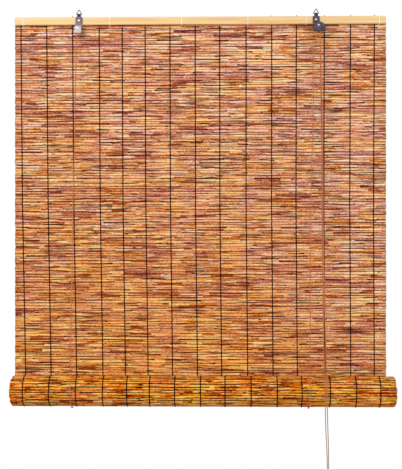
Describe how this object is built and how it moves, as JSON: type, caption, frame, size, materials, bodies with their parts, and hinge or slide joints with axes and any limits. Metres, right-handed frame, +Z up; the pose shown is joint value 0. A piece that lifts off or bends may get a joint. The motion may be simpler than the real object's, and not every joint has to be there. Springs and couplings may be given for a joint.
{
  "type": "reed roll up blind",
  "caption": "Woven reed blind that rolls up from the bottom on cord slings, with a head batten, hanging rings, a pulley, a cord lock and a pull knob.",
  "frame": {"origin": "midway between the two hanging rings, at the height where the hooks carry them, in the plane of the rings", "axes": "+X along the head batten to the right seen from the room, +Y from the room towards the wall, +Z up"},
  "size_m": [1.0225, 0.108, 1.2661],
  "materials": {
    "reed": "split reed in its natural colour, pinkish tan, with darker ends",
    "rolled_reed": "split reed, its golden inner side out",
    "pale_wood": "planed pale wood",
    "knob_wood": "turned and lacquered wood",
    "warp": "dark twisted thread",
    "clear_tie": "milky strap",
    "steel": "dull zinc",
    "nickel": "nickel plated",
    "strap": "woven black tape",
    "cord": "braided terracotta cord",
    "pull_cord": "braided mauve brown cord"
  },
  "bodies": {
    "head": {"head_batten": "pale_wood", "reed_mat": "reed", "batten_tie_1": "clear_tie", "batten_tie_2": "clear_tie", "batten_tie_3": "clear_tie", "batten_tie_4": "clear_tie", "batten_tie_5": "clear_tie", "batten_tie_6": "clear_tie", "warp_thread_01": "warp", "warp_thread_02": "warp", "warp_thread_03": "warp", "warp_thread_04": "warp", "warp_thread_05": "warp", "warp_thread_06": "warp", "warp_thread_07": "warp", "warp_thread_08": "warp", "warp_thread_09": "warp", "warp_thread_10": "warp", "warp_thread_11": "warp", "warp_thread_12": "warp", "warp_thread_13": "warp", "warp_thread_14": "warp", "warp_thread_15": "warp", "hanger_strap_left": "strap", "hanger_strap_right": "strap", "hanger_plate_left": "steel", "hanger_plate_right": "steel", "plate_screw_left": "nickel", "plate_screw_right": "nickel", "pulley_housing_left": "nickel", "pulley_axle_left": "nickel", "lock_housing": "steel", "sheave_axle": "nickel", "cam_pin": "nickel", "screw_eye_left": "nickel", "screw_eye_right": "nickel", "eye_knot_left": "cord", "eye_knot_right": "cord", "lift_cord_left": "cord", "lift_cord_right": "cord", "back_cord_left": "cord", "back_cord_right": "cord", "cross_cord": "cord", "lock_cord": "cord", "pull_cord_left": "pull_cord", "pull_cord_right": "pull_cord"},
    "pulley_wheel": {"pulley_wheel_left": "nickel"},
    "sheave": {"lock_sheave": "nickel"},
    "cam": {"lock_cam": "nickel"},
    "ring_left": {"hanging_ring_left": "steel"},
    "ring_right": {"hanging_ring_right": "steel"},
    "slings": {"cord_sling_left": "cord", "cord_sling_right": "cord"},
    "roll": {"reed_roll": "rolled_reed", "roll_threads": "warp", "bottom_batten": "pale_wood"},
    "pull": {"pull_tail_left": "pull_cord", "pull_tail_right": "pull_cord", "cord_knob": "knob_wood", "knob_knot": "pull_cord"}
  },
  "joints": [
    {"name": "roll_lift", "type": "slide", "parent": "head", "child": "slings", "axis": [0, 0, 1], "range_m": [0, 0.85], "deforming": ["reed_mat", "warp_thread_01", "warp_thread_02", "warp_thread_03", "warp_thread_04", "warp_thread_05", "warp_thread_06", "warp_thread_07", "warp_thread_08", "warp_thread_09", "warp_thread_10", "warp_thread_11", "warp_thread_12", "warp_thread_13", "warp_thread_14", "warp_thread_15", "lift_cord_left", "lift_cord_right", "back_cord_left", "back_cord_right", "pull_cord_left", "pull_cord_right"]},
    {"name": "roll_turn", "type": "hinge", "parent": "slings", "child": "roll", "pos_m": [0.0153, -0.0284, -1.0201], "axis": [1, 0, 0], "range_deg": [-1180, 0]},
    {"name": "cord_pull", "type": "slide", "parent": "slings", "child": "pull", "axis": [0, 0, -1], "range_m": [0, 2.55]},
    {"name": "pulley_turn", "type": "hinge", "parent": "head", "child": "pulley_wheel", "pos_m": [-0.321, -0.0055, -0.0505], "axis": [0, 1, 0], "continuous": true},
    {"name": "sheave_turn", "type": "hinge", "parent": "head", "child": "sheave", "pos_m": [0.325, -0.0075, -0.0435], "axis": [0, 1, 0], "continuous": true},
    {"name": "cam_release", "type": "hinge", "parent": "head", "child": "cam", "pos_m": [0.337, -0.0075, -0.0515], "axis": [0, -1, 0], "range_deg": [0, 40]},
    {"name": "ring_left_swing", "type": "hinge", "parent": "head", "child": "ring_left", "pos_m": [-0.319, 0, -0.0108], "axis": [1, 0, 0], "range_deg": [-90, 90]},
    {"name": "ring_right_swing", "type": "hinge", "parent": "head", "child": "ring_right", "pos_m": [0.319, 0, -0.0108], "axis": [1, 0, 0], "range_deg": [-90, 90]}
  ],
  "couplings": [
    {"joint": "roll_turn", "follows": "roll_lift", "rad_per_m": -24},
    {"joint": "cord_pull", "follows": "roll_lift", "ratio": 3},
    {"joint": "pulley_turn", "follows": "roll_lift", "rad_per_m": 500},
    {"joint": "sheave_turn", "follows": "roll_lift", "rad_per_m": 500}
  ]
}
